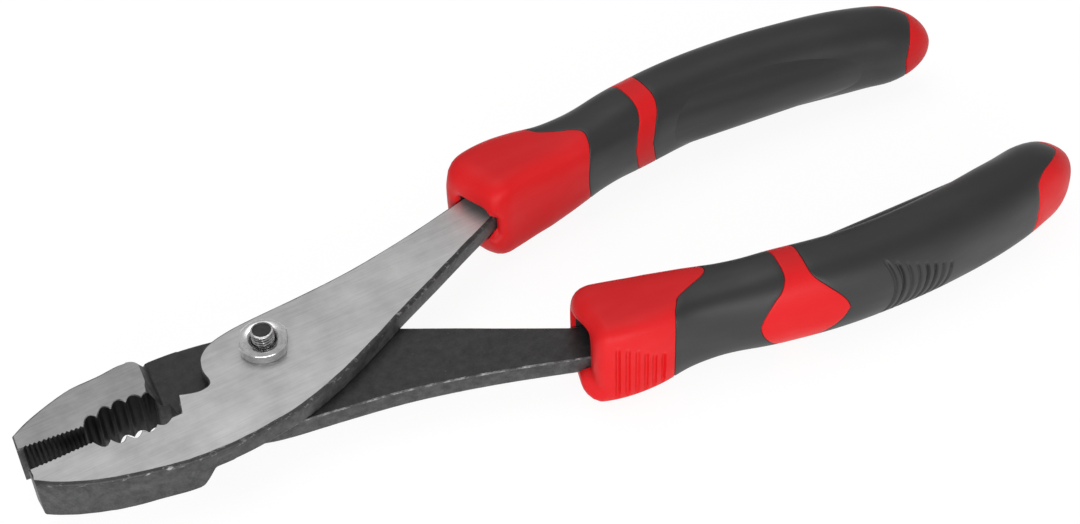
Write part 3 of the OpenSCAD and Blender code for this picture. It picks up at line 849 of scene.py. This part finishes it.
# For the upper grip, 1, and the lower one, -1: how far the rim stands forward, and the opening below and
# above the middle of the tang
MOUTH_FORWARD = {1: 1.8, -1: 0.8}
MOUTH_REACH = {1: (4.4, 5.2), -1: (2.7, 9)}
MOUTH_HALF_W = 5.3
MOUTH_SQUARENESS = 5
MOUTH_R_LEAST, MOUTH_R_MOST = 1.2, 3.6
# The share of the wall that the rim's rounding takes
MOUTH_R_SHARE = 0.6
# How deep the rim is cut back beside the tang, and the share of that left out above and below it. Each pair
# is where a form begins and where it is full: across in shares of the mouth's half, or away from the tang.
MOUTH_NOTCH = 2.6
NOTCH_ACROSS = (-0.7, 0.85)
NOTCH_LESS_ABOVE, NOTCH_ABOVE = 0.85, (2, 7)
NOTCH_LESS_BELOW, NOTCH_BELOW = 0.95, (2.5, 6)
# How far the lip flares at the rim, and a little way behind it
LIP_FLARE = 0.4
LIP_MID_FLARE, LIP_MID_DEPTH = 0.12, 0.3
SOCKET_DEPTH = 9
SOCKET_TAPER = 0.4
# The rows of the socket's faces that take the charcoal rubber: painted shade deep in the mouth
SOCKET_SHADE_ROWS = 2


def tang_spot(side):
    """Where the tang's middle lies in the mouth, from the middle of the section: outwards, and up."""
    return -along(SWAY, 0), side * (TANG_MID - GRIP_RISE) - along(LIFT, 0)


def mouth_line(side, angle):
    """The rim, cut back beside the tang: on the lower grip all the way up, on the upper one as a notch."""
    off, up = on_skin(0, angle)
    over_tang = up - tang_spot(side)[1]
    beside = ease(*NOTCH_ACROSS, -side * off / grip_half_sizes(0)[0])
    above = NOTCH_LESS_ABOVE * ease(*NOTCH_ABOVE, over_tang) if side > 0 else 0
    below = NOTCH_LESS_BELOW * ease(*NOTCH_BELOW, -over_tang)
    return MOUTH_NOTCH * beside * (1 - above - below) - MOUTH_FORWARD[side]


def opening(side, angle, more):
    """A point on the edge of the mouth's opening, made larger all round by more."""
    below, above = MOUTH_REACH[side]
    off, up = section(angle, MOUTH_HALF_W + more, (below + above) / 2 + more, MOUTH_SQUARENESS)
    tang_off, tang_up = tang_spot(side)
    return off + tang_off, up + tang_up + (above - below) / 2


def mouth_round(side, angle):
    """How far the rim is rounded towards the skin, as much as the wall there allows."""
    skin_off, skin_up = on_skin(0, angle)
    off, up = opening(side, angle, LIP_FLARE)
    wall = math.hypot(skin_off - off, skin_up - up)
    return min(MOUTH_R_MOST, max(MOUTH_R_LEAST, MOUTH_R_SHARE * wall))


def rim_line(side, share):
    """A line round the collar, from its rim at 0 to the end of the rim's rounding at 1."""
    return lambda angle: mouth_line(side, angle) + share * mouth_round(side, angle)


def mouth_ring(side, depth, more, rim_share):
    """A ring inside the mouth, at a depth behind its rim, or behind its start where rim_share is 0."""
    ring = []
    for angle in AROUND:
        off, up = opening(side, angle, more)
        ring.append(on_grip(side, mouth_line(side, angle) * rim_share + depth, off, up))
    return ring


def mouth(side):
    """From the middle of the socket's end wall out to the lip, and round the rim to the skin."""
    rings = [mouth_ring(side, SOCKET_DEPTH, -MOUTH_HALF_W, 0)]
    rings.append(mouth_ring(side, SOCKET_DEPTH, -SOCKET_TAPER, 0))
    rings.append(mouth_ring(side, MOUTH_R_LEAST, 0, 1))
    rings.append(mouth_ring(side, LIP_MID_DEPTH, LIP_MID_FLARE, 1))
    rings.append(mouth_ring(side, 0, LIP_FLARE, 1))
    for shift, depth in RIM_STEPS:
        rings.append(grip_ring(side, rim_line(side, shift), lambda a, s=depth: s * mouth_round(side, a)))
    return rings


def collar(side):
    """The collar's skin with its grooves, up to its seam and down under the skin there."""
    first, last = COLLAR_GROOVED
    rings = skin(side, rim_line(side, 1), straight(first), rows=8)
    for i in range(COLLAR_ROWS + 1):
        d = first + (last - first) * i / COLLAR_ROWS
        rings.append(grip_ring(side, straight(d), 0, COLLAR_GROOVES))
    rings += skin(side, straight(last), edge_line(COLLAR_EDGE, -SEAM_R), rows=14)
    rings += seam_out(side, edge_line(COLLAR_EDGE))
    rings.append(grip_ring(side, edge_line(COLLAR_EDGE), CORE_INSET))
    return rings


def band(side):
    """The band between the sleeves, with a seam on each side."""
    start, end = edge_line(BAND_FRONT), edge_line(BAND_REAR)
    rings = [grip_ring(side, start, CORE_INSET)]
    rings += seam_in(side, start)
    rings += skin(side, edge_line(BAND_FRONT, SEAM_R), edge_line(BAND_REAR, -SEAM_R), rows=16)
    rings += seam_out(side, end)
    rings.append(grip_ring(side, end, CORE_INSET))
    return rings


def end_cap(side):
    """The tube under the rear sleeve, and the end cap, drawn in to a point by ever smaller steps."""
    tube_start, start = edge_line(BAND_REAR), edge_line(CAP_EDGE)
    rings = []
    for i in range(1, TUBE_ROWS + 1):
        rings.append(grip_ring(side, between_lines(tube_start, start, i / TUBE_ROWS), CORE_INSET))
    rings += seam_in(side, start)
    for i in range(1, CAP_ROWS + 1):
        share = 1 - (1 - i / CAP_ROWS) ** 2
        rings.append(grip_ring(side, between_lines(edge_line(CAP_EDGE, SEAM_R), straight(GRIP_LEN), share)))
    return rings


def core(side, name, body, node):
    """The red moulding: a collar with its mouth, a band and an end cap on one inner tube."""
    rings = mouth(side) + collar(side) + band(side) + end_cap(side)
    # The socket's first rows take the charcoal rubber as painted shade in the mouth's gap
    piece = wrapped(name, rings, inner_rows=SOCKET_SHADE_ROWS)
    bpy.ops.object.shade_smooth_by_angle(angle=SMOOTH_BELOW)
    dress(piece, body, [node], [red_rubber, dark_rubber])


def grooved_middle(side):
    """The rear sleeve's skin, its rings bent along the grooves on its outer side."""
    def bent(d):
        def place(angle):
            off, up = on_skin(d, angle)
            if off < 0:
                up = grip_half_sizes(d)[1]
            return d - GROOVE_BOW * up * up
        return place

    first, last = SLEEVE_GROOVED
    rings = skin(side, edge_line(BAND_REAR, SEAM_R), bent(first), rows=10)
    for i in range(SLEEVE_ROWS + 1):
        d = first + (last - first) * i / SLEEVE_ROWS
        rings.append(grip_ring(side, bent(d), 0, SLEEVE_GROOVES, GROOVE_BOW))
    rings += skin(side, bent(last), edge_line(CAP_EDGE, -SEAM_R), rows=24)
    return rings


for half, side, body in (("upper", 1, "upper_arm"), ("lower", -1, "lower_arm")):
    core(side, half + "_red_moulding", body, half + "_grip_core")
    front = skin(side, edge_line(COLLAR_EDGE, SEAM_R), edge_line(BAND_FRONT, -SEAM_R), rows=16)
    sleeve(side, half + "_front_dark_sleeve", body, half + "_front_sleeve",
           edge_line(COLLAR_EDGE), edge_line(BAND_FRONT), front)
    sleeve(side, half + "_rear_dark_sleeve", body, half + "_rear_sleeve",
           edge_line(BAND_REAR), edge_line(CAP_EDGE), grooved_middle(side))


# Floor, light and camera

# In metres
FLOOR_SIZE = 6
# In millimetres, below the lowest point
FLOOR_GAP = 0.02
# How much of the floor's white is there whatever falls on it, so that the shadow stays faint, and that white
FLOOR_LIFT = 0.86
FLOOR_WHITE = 1.06
floor_low = min(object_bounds()[0].z, cad_low.z)
bpy.ops.object.select_all(action="DESELECT")
bpy.ops.mesh.primitive_plane_add(size=FLOOR_SIZE, location=(0, 0, floor_low - FLOOR_GAP * MM))
floor = named("floor")
paper, tree, shader, _ = new_finish("white_paper_floor", Roughness=0.9, Specular_IOR_Level=0.1)
shader.inputs["Base Color"].default_value = colour("#f4f4f4")
ray = add(tree, "LightPath").outputs
seen = add(tree, "Math", {0: ray["Is Camera Ray"], 1: ray["Is Glossy Ray"]}, operation="MAXIMUM").outputs[0]
lift = add(tree, "Math", {0: seen, 1: FLOOR_LIFT}, operation="MULTIPLY").outputs[0]
white = add(tree, "Emission", {"Color": (1, 1, 1, 1), "Strength": FLOOR_WHITE}).outputs[0]
lit = add(tree, "MixShader", {0: lift, 1: shader.outputs[0], 2: white}).outputs[0]
add(tree, "OutputMaterial", {"Surface": lit}, is_active_output=True)
floor.data.materials.append(paper)

ROOM_LIGHT = 0.45
scene = bpy.context.scene
scene.view_settings.view_transform = "Standard"
world = bpy.data.worlds.new("studio")
world.use_nodes = True
tree = world.node_tree
tree.nodes.clear()
glow = add(tree, "Background", {"Color": (1, 1, 1, 1), "Strength": ROOM_LIGHT}).outputs[0]
add(tree, "OutputWorld", {"Surface": glow})
scene.world = world


def softbox(name, place, aim, size, power):
    """A rectangular area lamp: place, aim and size in metres, power in watts."""
    bpy.ops.object.light_add(type="AREA", location=place)
    lamp = bpy.context.active_object
    lamp.name = name
    lamp.data.shape = "RECTANGLE"
    lamp.data.size, lamp.data.size_y = size
    lamp.data.energy = power
    lamp.rotation_mode = "QUATERNION"
    lamp.rotation_quaternion = (Vector(aim) - Vector(place)).to_track_quat("-Z", "Y")


PLIERS_MIDDLE = (0.06, 0, 0)
softbox("overhead", place=(0.05, 0.2, 0.8), aim=PLIERS_MIDDLE, size=(0.7, 0.6), power=2)
softbox("front", place=(-0.2, -0.66, 0.18), aim=PLIERS_MIDDLE, size=(1, 0.3), power=4.15)

# The camera is set by where the pivot axis meets the upper lever's face in the image, and how far that is
IMAGE_W, IMAGE_H = 1080, 524
FOCAL_PX = 2007.62
CAMERA_TURN = math.radians(25.7)
CAMERA_RISE = math.radians(44.95)
CAMERA_ROLL = math.radians(-2.41)
PIVOT_PIXEL = (264.5, 346)
PIVOT_FACE_Z = JOINT_Z + LEVER_T
CAMERA_REACH = 462.5
NEAR_CLIP = 0.01

right = Vector((math.cos(CAMERA_TURN), -math.sin(CAMERA_TURN), 0))
ahead = Vector((math.sin(CAMERA_TURN), math.cos(CAMERA_TURN), 0))
look = math.cos(CAMERA_RISE) * ahead - math.sin(CAMERA_RISE) * Vector((0, 0, 1))
over = math.sin(CAMERA_RISE) * ahead + math.cos(CAMERA_RISE) * Vector((0, 0, 1))
roll_c, roll_s = math.cos(CAMERA_ROLL), math.sin(CAMERA_ROLL)
image_x = roll_c * right + roll_s * over
image_y = roll_c * over - roll_s * right
pivot_x = (PIVOT_PIXEL[0] - IMAGE_W / 2) / FOCAL_PX
pivot_y = (IMAGE_H / 2 - PIVOT_PIXEL[1]) / FOCAL_PX
to_pivot = (look + pivot_x * image_x + pivot_y * image_y).normalized()
stand = Vector((0, 0, PIVOT_FACE_Z)) - CAMERA_REACH * to_pivot

bpy.ops.object.camera_add()
camera = bpy.context.active_object
turn = Matrix((image_x, image_y, -look)).transposed().to_4x4()
camera.matrix_world = Matrix.Translation(stand * MM) @ turn
camera.data.sensor_width = 36
camera.data.sensor_fit = "HORIZONTAL"
camera.data.lens = FOCAL_PX / IMAGE_W * camera.data.sensor_width
camera.data.clip_start = NEAR_CLIP
scene.camera = camera

bpy.context.view_layer.update()
